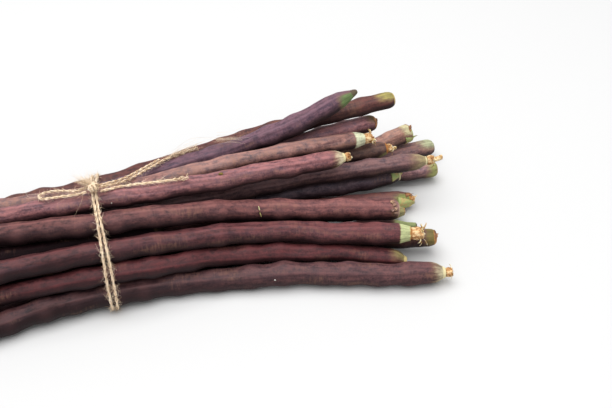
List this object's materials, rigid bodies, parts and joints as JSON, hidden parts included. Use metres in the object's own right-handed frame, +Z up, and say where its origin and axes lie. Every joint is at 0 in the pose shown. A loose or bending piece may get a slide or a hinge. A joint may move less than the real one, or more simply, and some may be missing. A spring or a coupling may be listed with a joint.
{
  "type": "yardlong bean bunch",
  "caption": "Bunch of purple yardlong beans lying on its side, held by twine with a knot, a bow loop and loose tails.",
  "frame": {"origin": "middle of the bunch's outline on the surface it lies on, without the loose twine", "axes": "+X along the pods towards their stem ends, +Y across the bunch towards its back, +Z up"},
  "size_m": [0.4702, 0.1029, 0.0605],
  "materials": {
    "bow_loop": "rough, hairy natural jute",
    "calyx_01": "dry, brown, papery",
    "calyx_05": "dry, brown, papery",
    "calyx_13": "dry, brown, papery",
    "calyx_15": "dry, brown, papery",
    "calyx_17": "dry, brown, papery",
    "calyx_22": "dry, brown, papery",
    "calyx_23": "dry, brown, papery",
    "knot": "rough, hairy natural jute",
    "pod_01": "satin purple-brown bean skin, pale green at the stem end",
    "pod_02": "satin purple-brown bean skin, pale green at the stem end",
    "pod_03": "satin purple-brown bean skin, pale green at the stem end",
    "pod_04": "satin purple-brown bean skin, pale green at the stem end",
    "pod_05": "satin purple-brown bean skin, pale green at the stem end",
    "pod_06": "satin purple-brown bean skin, pale green at the stem end",
    "pod_07": "satin purple-brown bean skin, pale green at the stem end",
    "pod_08": "satin purple-brown bean skin, pale green at the stem end",
    "pod_09": "satin purple-brown bean skin, pale green at the stem end",
    "pod_10": "satin purple-brown bean skin, pale green at the stem end",
    "pod_11": "satin purple-brown bean skin, pale green at the stem end",
    "pod_12": "satin purple-brown bean skin, pale green at the stem end",
    "pod_13": "satin purple-brown bean skin, pale green at the stem end",
    "pod_14": "satin purple-brown bean skin, pale green at the stem end",
    "pod_15": "satin purple-brown bean skin, pale green at the stem end",
    "pod_16": "satin purple-brown bean skin, pale green at the stem end",
    "pod_17": "satin purple-brown bean skin, pale green at the stem end",
    "pod_18": "satin purple-brown bean skin, pale green at the stem end",
    "pod_19": "satin purple-brown bean skin, pale green at the stem end",
    "pod_20": "satin purple-brown bean skin, pale green at the stem end",
    "pod_21": "satin purple-brown bean skin, pale green at the stem end",
    "pod_22": "satin purple-brown bean skin, pale green at the stem end",
    "pod_23": "satin purple-brown bean skin, pale green at the stem end",
    "tail_long": "rough, hairy natural jute",
    "tail_short": "rough, hairy natural jute",
    "twine_turn_1": "rough, hairy natural jute",
    "twine_turn_2": "rough, hairy natural jute"
  },
  "bodies": {
    "root": {"bow_loop": "bow_loop", "calyx_01": "calyx_01", "calyx_05": "calyx_05", "calyx_13": "calyx_13", "calyx_15": "calyx_15", "calyx_17": "calyx_17", "calyx_22": "calyx_22", "calyx_23": "calyx_23", "knot": "knot", "pod_01": "pod_01", "pod_02": "pod_02", "pod_03": "pod_03", "pod_04": "pod_04", "pod_05": "pod_05", "pod_06": "pod_06", "pod_07": "pod_07", "pod_08": "pod_08", "pod_09": "pod_09", "pod_10": "pod_10", "pod_11": "pod_11", "pod_12": "pod_12", "pod_13": "pod_13", "pod_14": "pod_14", "pod_15": "pod_15", "pod_16": "pod_16", "pod_17": "pod_17", "pod_18": "pod_18", "pod_19": "pod_19", "pod_20": "pod_20", "pod_21": "pod_21", "pod_22": "pod_22", "pod_23": "pod_23", "tail_long": "tail_long", "tail_short": "tail_short", "twine_turn_1": "twine_turn_1", "twine_turn_2": "twine_turn_2"}
  },
  "joints": []
}
